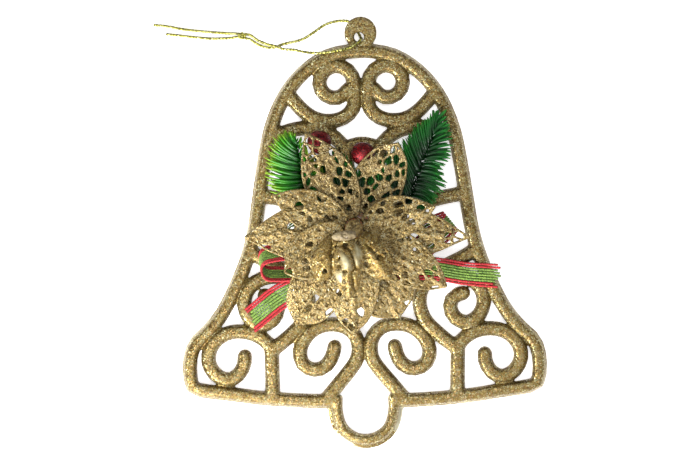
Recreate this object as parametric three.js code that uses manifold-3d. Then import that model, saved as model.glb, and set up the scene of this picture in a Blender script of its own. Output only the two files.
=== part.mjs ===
// Christmas bell ornament: an openwork moulded bell with a glued spray of lace poinsettia,
// pine sprigs, berries and ribbon, and a metallic thread to hang it by.
// Millimetres. It lies on its back on z = 0, with +Y towards the eyelet and +Z out of the front.
import * as THREE from "three";
import { mergeVertices } from "three/addons/utils/BufferGeometryUtils.js";
import Module from "manifold-3d";

const wasm = await Module();
wasm.setup();

// Driving dimensions
const RIB_WIDTH = 4.7;
const RIB_HEIGHT = 4.6;
const RIB_STEP = 2.3;
const RIM_STEP = 3.2;
const EYELET = { y: 66.45, radius: 5.3, holeX: -0.5, holeY: 65.1, holeRadius: 1.8, back: 1.3, front: 4.3 };
const CLAPPER = { y: -59.5, radius: 9.9 };
const FLOWER = { x: -3, y: 1.5 };
const PETAL_THICKNESS = 0.6;
const OUTER_PETAL_Z = 11.8;
const UPPER_PETAL_Z = 14.2;
const CENTRE_PETAL_Z = 19.9;
const LAYER_STEP = 1.1;
const BERRY_RADIUS = 4;
const BERRY_Z = 8.2;
const STEM_RADIUS = 0.7;
const STEM_Z = 5.7;
const NEEDLES_Z = 6.8;
const NEEDLES_DEPTH = 2.4;
const WIRE_RADIUS = 0.4;
const RIBBON_WIDTH = 8.2;
const RIBBON_THICKNESS = 0.6;
const RIBBON_Z = 5.4;
const RIBBON_TOP_Z = 10.7;
const THREAD_RADIUS = 0.5;

const GOLD = new THREE.MeshStandardMaterial({ color: 0xb09258, roughness: 0.35, metalness: 0.8 });
const LACE = new THREE.MeshStandardMaterial({ color: 0xcdb478, roughness: 0.4, metalness: 0.7 });
const LEAF_LIGHT = new THREE.MeshStandardMaterial({ color: 0x3c9628, roughness: 0.45, metalness: 0 });
const LEAF_DARK = new THREE.MeshStandardMaterial({ color: 0x145a23, roughness: 0.35, metalness: 0 });
const BERRY = new THREE.MeshStandardMaterial({ color: 0x820a14, roughness: 0.25, metalness: 0.1 });
const RIBBON = new THREE.MeshStandardMaterial({ color: 0x6f9b45, roughness: 0.8, metalness: 0 });
const WIRE = new THREE.MeshStandardMaterial({ color: 0x2d5a2a, roughness: 0.5, metalness: 0.4 });
const GLUE = new THREE.MeshStandardMaterial({ color: 0xd8cfae, roughness: 0.35, metalness: 0 });
const THREAD = new THREE.MeshStandardMaterial({ color: 0xbeb428, roughness: 0.35, metalness: 0.7 });

const bell = new THREE.Group();

function add(name, geometry, material) {
  const mesh = new THREE.Mesh(geometry, material);
  mesh.name = name;
  bell.add(mesh);
}

// A closed geometry as a solid, and a solid back as a geometry.
function toSolid(geometry) {
  const bare = geometry.clone();
  bare.deleteAttribute("normal");
  bare.deleteAttribute("uv");
  const merged = mergeVertices(bare, 1e-3);
  const vertProperties = new Float32Array(merged.attributes.position.array);
  const triVerts = new Uint32Array(merged.index.array);
  return new wasm.Manifold(new wasm.Mesh({ numProp: 3, vertProperties, triVerts }));
}

function toGeometry(solid) {
  const mesh = solid.getMesh();
  const geometry = new THREE.BufferGeometry();
  geometry.setAttribute("position", new THREE.BufferAttribute(mesh.vertProperties, 3));
  geometry.setIndex(new THREE.BufferAttribute(mesh.triVerts, 1));
  return geometry;
}

const radians = (degrees) => (degrees * Math.PI) / 180;
const vectors = (points) => points.map(([x, y, z = 0]) => new THREE.Vector3(x, y, z));
const spline = (points) => new THREE.CatmullRomCurve3(vectors(points));
const mirrored = (points) => points.map(([x, y]) => [-x, y]);

// Points on an arc whose radius eases from one value to another, which makes a scroll.
function scroll(x, y, startRadius, endRadius, startDegrees, endDegrees) {
  const count = Math.max(3, Math.round(Math.abs(endDegrees - startDegrees) / 40));
  const points = [];
  for (let i = 0; i <= count; i += 1) {
    const t = i / count;
    const radius = endRadius + (startRadius - endRadius) * (1 - t) ** 2;
    const angle = radians(startDegrees + (endDegrees - startDegrees) * t);
    points.push([x + radius * Math.cos(angle), y + radius * Math.sin(angle)]);
  }
  return points;
}

// --- Moulded frame ---------------------------------------------------------------------------

// A section is a list of [outward, height]: on a path that lies flat, the sweep's first axis
// points down and its second to the left of travel.
const section = (points) => new THREE.Shape(points.map(([side, height]) => new THREE.Vector2(-height, side)));

const HALF = RIB_WIDTH / 2;
const SHOULDER = 0.64 * RIB_HEIGHT;
const RIB_SECTION = section([
  [-HALF, 0],
  [HALF, 0],
  [HALF, SHOULDER],
  [0.6 * HALF, RIB_HEIGHT],
  [-0.6 * HALF, RIB_HEIGHT],
  [-HALF, SHOULDER],
]);

// The rim and the clapper have a low ledge along the outside. ledge is where it starts, as a
// share of half the width.
const edged = (ledge) => section([
  [-HALF, 0],
  [HALF, 0],
  [HALF, 0.33 * RIB_HEIGHT],
  [ledge * HALF, 0.42 * RIB_HEIGHT],
  [(ledge - 0.12) * HALF, 0.78 * RIB_HEIGHT],
  [(ledge - 0.42) * HALF, RIB_HEIGHT],
  [-0.65 * HALF, RIB_HEIGHT],
  [-HALF, SHOULDER],
]);
const RIM_SECTION = edged(0.8);
const CLAPPER_SECTION = edged(0.5);

function sweep(points, shape, step) {
  const path = spline(points);
  const steps = Math.ceil(path.getLength() / step);
  return new THREE.ExtrudeGeometry(shape, { steps, bevelEnabled: false, extrudePath: path });
}

// A domed button that rounds off the free end of a rib.
function ribEnd([x, y]) {
  const profile = [
    [0, 0],
    [HALF, 0],
    [HALF, SHOULDER],
    [0.6 * HALF, RIB_HEIGHT],
    [0, RIB_HEIGHT],
  ];
  const dome = new THREE.LatheGeometry(profile.map(([r, z]) => new THREE.Vector2(r, z)), 10);
  return dome.rotateX(Math.PI / 2).translate(x, y, 0);
}

// Right half of the rim, from the crown down to the clapper's leg.
const RIM_RIGHT = [
  [9.6, 59.4], [15.4, 56.5], [21.1, 51.7], [25.4, 46.1], [28.6, 39.6], [30.9, 32.6],
  [33, 21.5], [34.6, 11], [36.2, 1], [38.8, -8.3], [42.3, -16.8], [46.9, -25.7],
  [51.6, -31.7], [55.9, -35.8], [57.8, -39.8], [58.1, -47.5], [57.2, -50.7], [54.3, -51.8],
  [45.2, -53], [35.8, -54.4], [24.8, -55.4], [12.9, -55.9], [10.2, -55.9],
];

// Ribs of the right half. Those with a tip end in a scroll.
const RIBS = {
  topScroll: {
    tip: true,
    points: [
      [24.5, 46.5], [19.5, 40.9], [16, 38.4], [12, 37.3], [8, 37.6], [4.6, 39.2], [2.6, 41.8], [2.1, 45],
      ...scroll(8.7, 49.9, 6.5, 4.9, 183, -154),
    ],
  },
  upperArch: {
    points: [[30.5, 33], [27, 33.3], [22.5, 34.7], [17, 35], [12.5, 33.9], [8, 31], [5.8, 27.5], [5, 23], [4.6, 8]],
  },
  rung: { points: [[34.4, 12.9], [26.6, 11.5], [15, 8.6], [4.6, 7.4], [-1, 7.2]] },
  lowerRung: { points: [[-1, -12], [8, -12.2], [17, -13.2], [26, -14.5]] },
  heart: {
    points: [
      [38, -5.5], [33.5, -8.3], [27, -11.5], [21.5, -15.5], [18.8, -20], [18.6, -25], [20.5, -29.5],
      [24, -33.2], [27.6, -36.3], [31, -38.8],
    ],
  },
  sideScroll: {
    tip: true,
    points: [
      [25, -14.5], [31, -14.2], [36, -15.9], [39.1, -19.5], [39.8, -24], [37.8, -28.3], [34, -30.2],
      [30.2, -28.5], [28.6, -24.8], [29.7, -21.7], [33, -20.4],
    ],
  },
  bottomScroll: {
    tip: true,
    points: [
      [12.9, -55.2], [9, -50.4], [5.2, -45.9], [2.6, -42], [1.95, -38.5], [2.8, -34.5], [5.8, -31.4],
      [10.6, -30.3], [15.6, -31.3], [19.7, -34.7], [21.6, -39.2], [20.6, -43.3], [17.4, -45.3],
      [13.6, -44.6], [11, -41.4], [10, -37.8],
    ],
  },
  post: { points: [[31, -38], [30.8, -46], [30.75, -54.5]] },
  cornerScroll: {
    tip: true,
    points: [
      [30.9, -38], [33.3, -35.2], [37.6, -32.9], [43.6, -32.4], [48.5, -34.4], [51.6, -38.6],
      [51.8, -43], [49.3, -46.8], [45.5, -48.3], [42, -46.6], [40.2, -43.4], [39.9, -40.6],
    ],
  },
};

// The small arch above the rung, on the centre line.
const CENTRE_ARCH = [[-6.6, 23.5], [-6, 26.6], [-3.6, 28.9], [0, 29.6], [3.6, 28.9], [6, 26.6], [6.6, 23.5]];

// The U-shaped clapper: two legs and half a ring.
const clapperArc = scroll(0, CLAPPER.y, CLAPPER.radius, CLAPPER.radius, 0, -180);
const CLAPPER_LOOP = [[CLAPPER.radius, -54], ...clapperArc, [-CLAPPER.radius, -54]];

function frame() {
  const rim = [...mirrored(RIM_RIGHT).reverse(), [0, 60.6], ...RIM_RIGHT];
  const pieces = [
    sweep(rim, RIM_SECTION, RIM_STEP),
    sweep(CLAPPER_LOOP, CLAPPER_SECTION, RIB_STEP),
    sweep(CENTRE_ARCH, RIB_SECTION, RIB_STEP),
  ];
  for (const { points, tip } of Object.values(RIBS)) {
    for (const line of [points, mirrored(points)]) {
      pieces.push(sweep(line, RIB_SECTION, RIB_STEP));
      if (tip) pieces.push(ribEnd(line.at(-1)));
    }
  }
  const { y, radius, holeX, holeY, holeRadius, back, front } = EYELET;
  const ring = new THREE.CylinderGeometry(radius, radius, front - back, 20).rotateX(Math.PI / 2);
  const bore = new THREE.CylinderGeometry(holeRadius, holeRadius, 10, 12).rotateX(Math.PI / 2);
  pieces.push(ring.translate(0, y, (front + back) / 2));
  const body = pieces.map(toSolid).reduce((sum, piece) => sum.add(piece));
  return toGeometry(body.subtract(toSolid(bore.translate(holeX, holeY, 2))));
}

add("bell_frame", frame(), GOLD);

// --- Poinsettia ------------------------------------------------------------------------------

// A petal is a thin leaf that runs out from the flower's middle. Its width follows a sine,
// blunt below 1 and pointed above it. lift raises its outer half, arch drops its two edges,
// hump raises its middle.
function petal({ angle, reach, width, z, blunt = 0.8, start = 3.2, lift = 0, arch = 0.15, hump = 0, from = FLOWER }) {
  const geometry = new THREE.BoxGeometry(1, 1, 1, 8, 4, 1);
  const position = geometry.attributes.position;
  for (let i = 0; i < position.count; i += 1) {
    const along = position.getX(i) + 0.5;
    const side = 2 * position.getY(i);
    const leaf = Math.max(0.05, Math.sin(Math.PI * (0.12 + 0.88 * along)) ** blunt);
    const outer = Math.max(0, along - 0.45) / 0.55;
    const rise = lift * outer ** 2 + hump * Math.sin(Math.PI * along) - arch * side * side;
    const thickness = position.getZ(i) * PETAL_THICKNESS;
    position.setXYZ(i, start + (reach - start) * along, (side * leaf * width) / 2, z + rise + thickness);
  }
  return geometry.rotateZ(radians(angle)).translate(from.x, from.y, 0);
}

const OUTER_PETALS = [
  { angle: 116, reach: 35, width: 17.5, blunt: 0.85, lift: 0.6 },
  { angle: 62, reach: 31.5, width: 17.5, blunt: 0.5, lift: 4 },
  { angle: -5, reach: 38, width: 16, blunt: 1, lift: -1 },
  { angle: -64, reach: 33, width: 22, blunt: 0.4, lift: -2.2 },
  { angle: -122, reach: 37, width: 20, blunt: 0.45, lift: -1.6 },
  { angle: 184, reach: 36.2, width: 18, blunt: 1, lift: -0.8 },
];
OUTER_PETALS.forEach((leaf, i) => {
  const level = (i + 1) % 2;
  add("outer_petal_" + (i + 1), petal({ ...leaf, z: OUTER_PETAL_Z + LAYER_STEP * level }), LACE);
});

const UPPER_PETALS = [
  { angle: 157, reach: 28.5, width: 14, level: 0, blunt: 0.8, lift: 1 },
  { angle: 14, reach: 27.5, width: 14.5, level: 1, blunt: 0.9, lift: 1.2 },
  { angle: -33, reach: 36, width: 16.5, level: 0, blunt: 0.7, lift: -1 },
  { angle: -91, reach: 34.6, width: 17.5, level: 1, blunt: 0.6, lift: -0.8 },
  { angle: -148, reach: 27, width: 17, level: 2, blunt: 0.6, lift: 0.6 },
];
UPPER_PETALS.forEach((leaf, i) => {
  add("upper_petal_" + (i + 1), petal({ ...leaf, z: UPPER_PETAL_Z + LAYER_STEP * leaf.level }), LACE);
});

// Curled petals in the middle, which fall forward from one fold.
const CURL = { start: 1.4, arch: 2.6, hump: 2.6, blunt: 0.5 };
const CURLED_PETALS = [
  { angle: -116, reach: 17, width: 9.5, z: 0, from: { x: -7.8, y: -0.4 } },
  { angle: -88, reach: 21, width: 9, z: 3.9, start: 2.2, from: { x: -5.6, y: -0.4 } },
  { angle: -54, reach: 18.5, width: 10.5, z: 0, from: { x: -2.4, y: -0.2 } },
];
CURLED_PETALS.forEach((leaf, i) => {
  add("curled_petal_" + (i + 1), petal({ ...CURL, ...leaf, z: CENTRE_PETAL_Z + leaf.z }), LACE);
});
const FOLD = { angle: 186, reach: 8, width: 3.2, start: 0, arch: 1, hump: 1.2, blunt: 0.5 };
add("centre_fold", petal({ ...FOLD, z: CENTRE_PETAL_Z + 3.9, from: { x: -2.5, y: -0.5 } }), LACE);

function turned(profile, segments, x, y) {
  const lathe = new THREE.LatheGeometry(profile.map(([r, z]) => new THREE.Vector2(r, z)), segments);
  return lathe.rotateX(Math.PI / 2).translate(x, y, 0);
}

// The gathered boss of film that all the petals spring from.
const BOSS = [[0, 9], [1.4, 9], [2.7, 11.1], [2.7, 19.4], [1.8, 21.5], [0, 22]];
add("flower_calyx", turned(BOSS, 12, FLOWER.x, FLOWER.y), LACE);
add("glue_pad", turned([[0, 5], [6.6, 5], [6, 6.8], [3.6, 8.4], [0, 8.7]], 14, FLOWER.x, FLOWER.y + 1), GLUE);

// --- Pine sprigs and berries -----------------------------------------------------------------

const ring = (radius, sides) => {
  const corners = [];
  for (let i = 0; i < sides; i += 1) {
    const angle = (2 * Math.PI * i) / sides;
    corners.push(new THREE.Vector2(radius * Math.cos(angle), radius * Math.sin(angle)));
  }
  return new THREE.Shape(corners);
};

function needles(outline) {
  const shape = new THREE.Shape(outline.map(([x, y]) => new THREE.Vector2(x, y)));
  const geometry = new THREE.ExtrudeGeometry(shape, { depth: NEEDLES_DEPTH, bevelEnabled: false });
  return geometry.translate(0, 0, NEEDLES_Z);
}

const SPRIGS = {
  left: {
    material: LEAF_LIGHT,
    stem: [[-11, 9.5, STEM_Z], [-16, 11, STEM_Z], [-19.6, 15, STEM_Z], [-22, 24, STEM_Z], [-23.6, 33, STEM_Z]],
    outline: [
      [-8.6, 9.4], [-12, 5.5], [-16, 0.8], [-22, 0], [-26, 3.5], [-26.5, 10.5], [-31.2, 15], [-32.4, 20],
      [-32.2, 27], [-29.5, 33], [-25, 35.2], [-21.6, 33.8], [-19, 31.5], [-18.6, 26], [-13.8, 23], [-10.6, 16],
    ],
  },
  right: {
    material: LEAF_DARK,
    stem: [[8.5, 6.5, STEM_Z], [13, 8, STEM_Z], [17, 12.5, STEM_Z], [20.5, 21, STEM_Z], [25.5, 36, STEM_Z]],
    outline: [
      [3, 9.5], [12, 9.6], [17, 7.6], [23.6, 7], [25.6, 11.5], [28.8, 16.8], [26.4, 20], [29, 24.5],
      [30.2, 30], [29.8, 41], [24, 41], [18.6, 38.2], [13.4, 32.4], [10.8, 27], [5.5, 22], [1.4, 18], [1, 12],
    ],
  },
};
for (const [side, { material, stem, outline }] of Object.entries(SPRIGS)) {
  add("sprig_" + side + "_stem", sweep(stem, ring(STEM_RADIUS, 8), 3), material);
  add("sprig_" + side + "_needles", needles(outline), material);
}

const BERRIES = {
  left: { x: -14.2, y: 30.2, wire: [[-12.6, 25.7, 8], [-8.6, 15, 8.4], [-5.4, 8.6, 9.4], [-4.4, 6.6, 9.8]] },
  right: { x: 0.2, y: 26.2, wire: [[-0.2, 21.4, 8], [-1, 14, 8.4], [-1.6, 8.4, 9.4], [-1.9, 6.4, 9.8]] },
};
for (const [side, { x, y, wire }] of Object.entries(BERRIES)) {
  const berry = new THREE.SphereGeometry(BERRY_RADIUS, 16, 10).rotateX(Math.PI / 2);
  add("berry_" + side, berry.translate(x, y, BERRY_Z), BERRY);
  add("berry_" + side + "_wire", sweep(wire, ring(WIRE_RADIUS, 6), 2.5), WIRE);
}

// --- Ribbon bow ------------------------------------------------------------------------------

// A strip of ribbon between two edges, with its thickness across them.
function strip(edgeA, edgeB, steps) {
  const [a, b] = [spline(edgeA), spline(edgeB)];
  const geometry = new THREE.BoxGeometry(1, 1, 1, steps, 1, 1);
  const position = geometry.attributes.position;
  for (let i = 0; i < position.count; i += 1) {
    const along = Math.min(1, Math.max(0, position.getX(i) + 0.5));
    const [pa, pb] = [a.getPointAt(along), b.getPointAt(along)];
    const normal = a.getTangentAt(along).cross(pb.clone().sub(pa)).normalize();
    const point = pa.lerp(pb, position.getY(i) + 0.5);
    point.addScaledVector(normal, position.getZ(i) * RIBBON_THICKNESS);
    position.setXYZ(i, point.x, point.y, point.z);
  }
  return geometry;
}

const flat = (z, points) => points.map(([x, y]) => [x, y, z]);

// One edge of the loop on the right, which runs out to a fold and comes back under itself a
// little askew. Each row is [distance back from the fold, offset aside, height].
const RIGHT_FOLD = { x: 29.3, y: 3, heading: 39.4 };
const RIGHT_FOLD_LINE = [
  [14, 0, 9.6], [8, 0, 9.9], [3, 0.1, 9.6], [0.8, 0.4, 8.9], [0, 0.7, 7.7], [0.8, 1.1, 6.4],
  [3, 1.8, 5.8], [7, 2.8, 5.6], [11, 3.4, 5.6],
];
function foldedEdge(side) {
  const [cos, sin] = [Math.cos(radians(RIGHT_FOLD.heading)), Math.sin(radians(RIGHT_FOLD.heading))];
  return RIGHT_FOLD_LINE.map(([back, aside, z]) => [
    RIGHT_FOLD.x - back * cos - (aside + side) * sin,
    RIGHT_FOLD.y - back * sin + (aside + side) * cos,
    z,
  ]);
}

const RIBBONS = {
  ribbon_tail_right: [
    flat(RIBBON_Z, [[13, -16], [23, -16.2], [33, -17.8], [44.3, -19]]),
    flat(RIBBON_Z, [[13, -8.4], [23, -8.2], [34, -10], [45.4, -10.8]]),
    8,
  ],
  ribbon_tail_left: [
    flat(RIBBON_Z, [[-19.6, -21], [-26.6, -25.2], [-36, -32.6]]),
    flat(RIBBON_Z, [[-21.6, -13], [-30.6, -17.4], [-39.5, -24.5]]),
    6,
  ],
  ribbon_loop_left: [
    flat(RIBBON_Z + 0.2, [
      [-21, -2.6], [-29.6, -3.2], [-33.6, -4.8], [-34.5, -7.8], [-32.2, -10.4], [-27, -10.8], [-21, -10.6],
    ]),
    flat(RIBBON_TOP_Z, [
      [-21, -8.4], [-28.6, -9.2], [-32.8, -10.4], [-33.6, -13.2], [-31.8, -15.5], [-27.5, -15.8], [-21, -15.6],
    ]),
    16,
  ],
  ribbon_loop_right: [foldedEdge(RIBBON_WIDTH / 2), foldedEdge(-RIBBON_WIDTH / 2), 24],
  ribbon_centre: [
    flat(6.6, [[-17.5, -13], [-3, -10.4], [10.5, -12.4]]),
    flat(6.6, [[-17.5, -5.6], [-3, -6.6], [10.5, -6]]),
    6,
  ],
};
for (const [name, [edgeA, edgeB, steps]] of Object.entries(RIBBONS)) {
  add(name, strip(edgeA, edgeB, steps), RIBBON);
}

// The wire tie round the bow's waist, left open where its ends meet.
const TIE = [
  [-3, -6.9, 5.5], [-3, -5.8, 6], [-3, -5.7, 7], [-3, -7, 7.7], [-3, -10, 7.7], [-3, -11.2, 7],
  [-3, -11.2, 6], [-3, -10, 5.5], [-3, -8, 5.4],
];
add("ribbon_tie_wire", sweep(TIE, ring(0.25, 6), 1.5), WIRE);

// --- Hanging thread --------------------------------------------------------------------------

// Both strands leave the eyelet's hole, one over the rim and one under the ring, and meet in a
// knot, from which two short tails run on.
const THREAD_ROUTES = {
  thread_front: [
    [0.3, 64.5, 2.6], [0.3, 64.5, 3.6], [0.1, 64.1, 4.9], [-0.8, 63.2, 5.5], [-2.2, 62.2, 5.7], [-4.3, 61.2, 5.7],
    [-9.3, 60.2, 5.7], [-13.4, 59.8, 5.4], [-16.4, 60, 4.2], [-19.3, 60.5, 2.2], [-22.2, 61.2, 0.9],
    [-25.6, 61.5, 1.1], [-28.6, 62.5, 2.1], [-31.4, 63.3, 1.5], [-34.6, 64.8, 0.8], [-36.9, 66.4, 1.1],
  ],
  thread_back: [
    [0.3, 64.5, 2], [0.2, 64.7, 1.4], [-0.2, 65.6, 0.75], [-1, 67.2, 0.62], [-2.2, 69, 0.62], [-3.6, 70.3, 0.62],
    [-5.8, 70.7, 0.62], [-9.2, 70.3, 0.62], [-12.2, 69.2, 0.62], [-15.6, 66.9, 0.62], [-18.9, 64.9, 0.62],
    [-21.8, 64, 0.62], [-25.6, 63.2, 0.62], [-29.2, 62, 0.62], [-32, 62.3, 0.62], [-34.6, 63.4, 0.62],
    [-36.9, 64.9, 0.8],
  ],
  thread_tail_upper: [
    [-41.6, 66.9, 1.1], [-43.9, 67, 0.7], [-48.9, 67.4, 0.62], [-54, 67.9, 0.62], [-59.3, 68.6, 0.62],
    [-64.5, 69.6, 0.62], [-68.9, 70.1, 0.62],
  ],
  thread_tail_lower: [
    [-41.4, 65.7, 0.9], [-43.4, 65.4, 0.62], [-49.3, 65.3, 0.62], [-55, 65.8, 0.62], [-61.4, 66.6, 0.62],
    [-64.8, 67, 0.62],
  ],
};
for (const [name, route] of Object.entries(THREAD_ROUTES)) {
  add(name, sweep(route, ring(THREAD_RADIUS, 8), 2), THREAD);
}
const knot = new THREE.SphereGeometry(1, 10, 8).scale(1.75, 1.25, 1.1).rotateZ(radians(12));
add("thread_knot", knot.translate(-39.4, 66.1, 1.2), THREAD);

export default bell;
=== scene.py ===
import math

import bpy
import numpy as np
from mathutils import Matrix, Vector


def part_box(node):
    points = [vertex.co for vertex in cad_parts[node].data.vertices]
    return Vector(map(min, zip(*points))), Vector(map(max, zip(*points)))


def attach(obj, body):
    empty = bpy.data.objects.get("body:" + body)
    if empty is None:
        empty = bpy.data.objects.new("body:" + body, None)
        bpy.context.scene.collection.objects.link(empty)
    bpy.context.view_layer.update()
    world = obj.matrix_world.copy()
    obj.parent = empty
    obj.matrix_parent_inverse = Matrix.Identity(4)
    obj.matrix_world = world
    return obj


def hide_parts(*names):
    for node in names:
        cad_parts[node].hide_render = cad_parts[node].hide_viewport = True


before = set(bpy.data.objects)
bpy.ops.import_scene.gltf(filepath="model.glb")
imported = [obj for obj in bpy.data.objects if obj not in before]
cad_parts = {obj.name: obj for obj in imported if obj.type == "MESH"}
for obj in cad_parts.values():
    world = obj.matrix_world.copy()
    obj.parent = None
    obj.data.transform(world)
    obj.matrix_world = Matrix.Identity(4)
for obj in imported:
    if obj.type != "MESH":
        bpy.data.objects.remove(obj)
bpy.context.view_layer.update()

MM = 0.001
rng = np.random.default_rng(7)


# --- Camera -----------------------------------------------------------------------------------

CAMERA_HEIGHT = 1.0
VIEW_WIDTH = 0.2333
SENSOR_WIDTH = 36.0
VIEW_CENTRE_X = -4.35 * MM
ROLL = math.radians(-0.75)


def make_camera():
    data = bpy.data.cameras.new("camera")
    data.sensor_width = SENSOR_WIDTH
    data.lens = SENSOR_WIDTH * CAMERA_HEIGHT / VIEW_WIDTH
    camera = bpy.data.objects.new("camera", data)
    camera.location = (VIEW_CENTRE_X, 0, CAMERA_HEIGHT)
    camera.rotation_euler = (0, 0, ROLL)
    bpy.context.collection.objects.link(camera)
    bpy.context.scene.camera = camera


make_camera()


# --- Materials --------------------------------------------------------------------------------

HELD_DOWN = 0.5
FLAKE_SIZE = 0.3 * MM
THREAD_FLAKE_SIZE = 0.5 * MM
LEDGE_HEIGHT = 0.9 * MM
WORN_HEIGHT = 1.0 * MM


def linear(red, green, blue):
    """An sRGB colour from 0 to 255 as a linear RGBA colour, held down a little: the light is strong
    enough to wash the floor out to white."""
    def channel(value):
        value /= 255
        value = value / 12.92 if value <= 0.04045 else ((value + 0.055) / 1.055) ** 2.4
        return HELD_DOWN * value
    return (channel(red), channel(green), channel(blue), 1)


class Shader:
    """A Principled material and short calls for its nodes."""

    def __init__(self, name, **sockets):
        self.material = bpy.data.materials.new(name)
        self.material.use_nodes = True
        self.nodes = self.material.node_tree.nodes
        self.bsdf = next(n for n in self.nodes if n.type == "BSDF_PRINCIPLED")
        for socket, value in sockets.items():
            self.bsdf.inputs[socket.replace("_", " ")].default_value = value
        self.object_coordinates = self.add("TexCoord").outputs["Object"]

    def add(self, kind, inputs=(), **properties):
        node = self.nodes.new("ShaderNode" + kind)
        for key, value in properties.items():
            setattr(node, key, value)
        for key, value in dict(inputs).items():
            self.put(value, node.inputs[key])
        return node

    def put(self, value, socket):
        if isinstance(value, bpy.types.NodeSocket):
            self.material.node_tree.links.new(value, socket)
        else:
            socket.default_value = value

    def math(self, operation, a, b=0.0, clamp=False):
        return self.add("Math", {0: a, 1: b}, operation=operation, use_clamp=clamp).outputs[0]

    def vector(self, operation, a, b=(0, 0, 0), scale=None):
        node = self.add("VectorMath", {0: a, 1: b}, operation=operation)
        if scale is not None:
            self.put(scale, node.inputs["Scale"])
        return node.outputs[0]

    def ramp(self, factor, stops):
        node = self.add("ValToRGB", {"Fac": factor})
        while len(node.color_ramp.elements) < len(stops):
            node.color_ramp.elements.new(1)
        for element, (place, colour) in zip(node.color_ramp.elements, stops):
            element.position = place
            element.color = colour
        return node.outputs["Color"]

    def noise(self, size, detail=2.0):
        node = self.add("TexNoise", {"Vector": self.object_coordinates, "Scale": 1 / size, "Detail": detail})
        return node.outputs["Fac"]

    def cells(self, size):
        return self.add("TexVoronoi", {"Vector": self.object_coordinates, "Scale": 1 / size}).outputs["Color"]

    def scaled(self, value, factor, offset):
        """value * factor + offset"""
        return self.add("Math", {0: value, 1: factor, 2: offset}, operation="MULTIPLY_ADD").outputs[0]

    def span(self, value, low, high):
        """0 where value is low or beyond, 1 where it is high or beyond."""
        return self.add("MapRange", {"Value": value, "From Min": low, "From Max": high}).outputs[0]

    def blend(self, factor, a, b):
        node = self.add("Mix", data_type="FLOAT")
        for socket, value in zip(node.inputs[0:1] + node.inputs[2:4], (factor, a, b)):
            self.put(value, socket)
        return node.outputs[0]

    def mix(self, factor, a, b):
        node = self.add("Mix", data_type="RGBA")
        self.put(factor, node.inputs["Factor"])
        self.put(a, node.inputs[6])
        self.put(b, node.inputs[7])
        return node.outputs[2]

    def bump(self, height, distance, strength=1.0):
        node = self.add("Bump", {"Height": height, "Distance": distance, "Strength": strength})
        self.put(node.outputs["Normal"], self.bsdf.inputs["Normal"])


def glitter(name, colours, plain, coat, tilt=0.6, metal=0.7, plain_roughness=0.4, plain_metal=0.3):
    """Plastic coated with metallic flakes. Each flake has its own tilt, colour and gloss.

    plain and coat are functions of the shader: the bare plastic's colour, and from 0 to 1 how much
    of it is covered. metal and plain_metal are how metallic the flakes and the plastic are.
    """
    shader = Shader(name)
    cells = shader.cells(FLAKE_SIZE)
    split = shader.add("SeparateColor", {"Color": cells})
    shade = shader.scaled(shader.noise(2.4 * MM, 3.0), 0.5, -0.25)
    shade = shader.math("ADD", split.outputs[0], shade, clamp=True)
    cover = coat(shader)
    colour = shader.mix(cover, plain(shader), shader.ramp(shade, colours))
    shader.put(colour, shader.bsdf.inputs["Base Color"])
    gloss = shader.scaled(split.outputs[1], 0.3, 0.24)
    shader.put(shader.blend(cover, plain_roughness, gloss), shader.bsdf.inputs["Roughness"])
    shader.put(shader.blend(cover, plain_metal, metal), shader.bsdf.inputs["Metallic"])
    lean = shader.vector("SUBTRACT", cells, (0.5, 0.5, 0.5))
    lean = shader.vector("SCALE", lean, scale=shader.math("MULTIPLY", cover, tilt))
    normal = shader.vector("ADD", shader.add("NewGeometry").outputs["Normal"], lean)
    shader.put(shader.vector("NORMALIZE", normal), shader.bsdf.inputs["Normal"])
    return shader.material


def facing_up(shader):
    return shader.add("SeparateXYZ", {"Vector": shader.add("NewGeometry").outputs["Normal"]}).outputs["Z"]


def height(shader):
    return shader.add("SeparateXYZ", {"Vector": shader.object_coordinates}).outputs["Z"]


def shaded_moulding_plastic(shader):
    """Pale where a face looks forward, with painted shade down the walls: brown where a face turns away from
    the front.
    """
    return shader.mix(shader.span(facing_up(shader), 0.1, 0.7), linear(160, 124, 68), linear(246, 240, 208))


def front_coat(shader):
    """Flakes on the moulding's front. Its walls and back are left thin, and so is the low ledge
    along its outside, up to a height that wanders."""
    slope = shader.span(facing_up(shader), -0.15, 0.2)
    worn = shader.span(shader.noise(14 * MM, 1.0), 0.46, 0.56)
    edge = shader.scaled(worn, WORN_HEIGHT, LEDGE_HEIGHT)
    raised = shader.span(height(shader), edge, shader.math("ADD", edge, 0.6 * MM))
    patchy = shader.span(shader.noise(1.2 * MM), 0.3, 0.65)
    thick = shader.math("MULTIPLY", shader.math("MULTIPLY", slope, raised), 0.85)
    thin = shader.math("MULTIPLY", patchy, shader.scaled(slope, 0.2, 0.1))
    return shader.math("ADD", thick, thin, clamp=True)


def berry_plastic(shader):
    return shader.mix(shader.noise(1.5 * MM), linear(80, 3, 12), linear(128, 8, 20))


def full_coat(shader):
    return shader.scaled(shader.noise(3 * MM), 0.3, 0.8)


def lace_film(shader):
    """The film between the strands: its own tan, mottled with dark brown pits that are painted shade of the
    lace's hollows, and, on the crumpled lumps, pale.
    """
    shaded_pits = shader.span(shader.noise(0.9 * MM, 3.0), 0.4, 0.62)
    film_with_shaded_pits = shader.mix(shaded_pits, linear(96, 68, 26), linear(200, 168, 98))
    bare = shader.add("Attribute", attribute_name="bare").outputs["Fac"]
    pale = shader.mix(shader.noise(1.1 * MM, 3.0), linear(206, 188, 128), linear(255, 252, 214))
    return shader.mix(bare, film_with_shaded_pits, pale)


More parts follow.
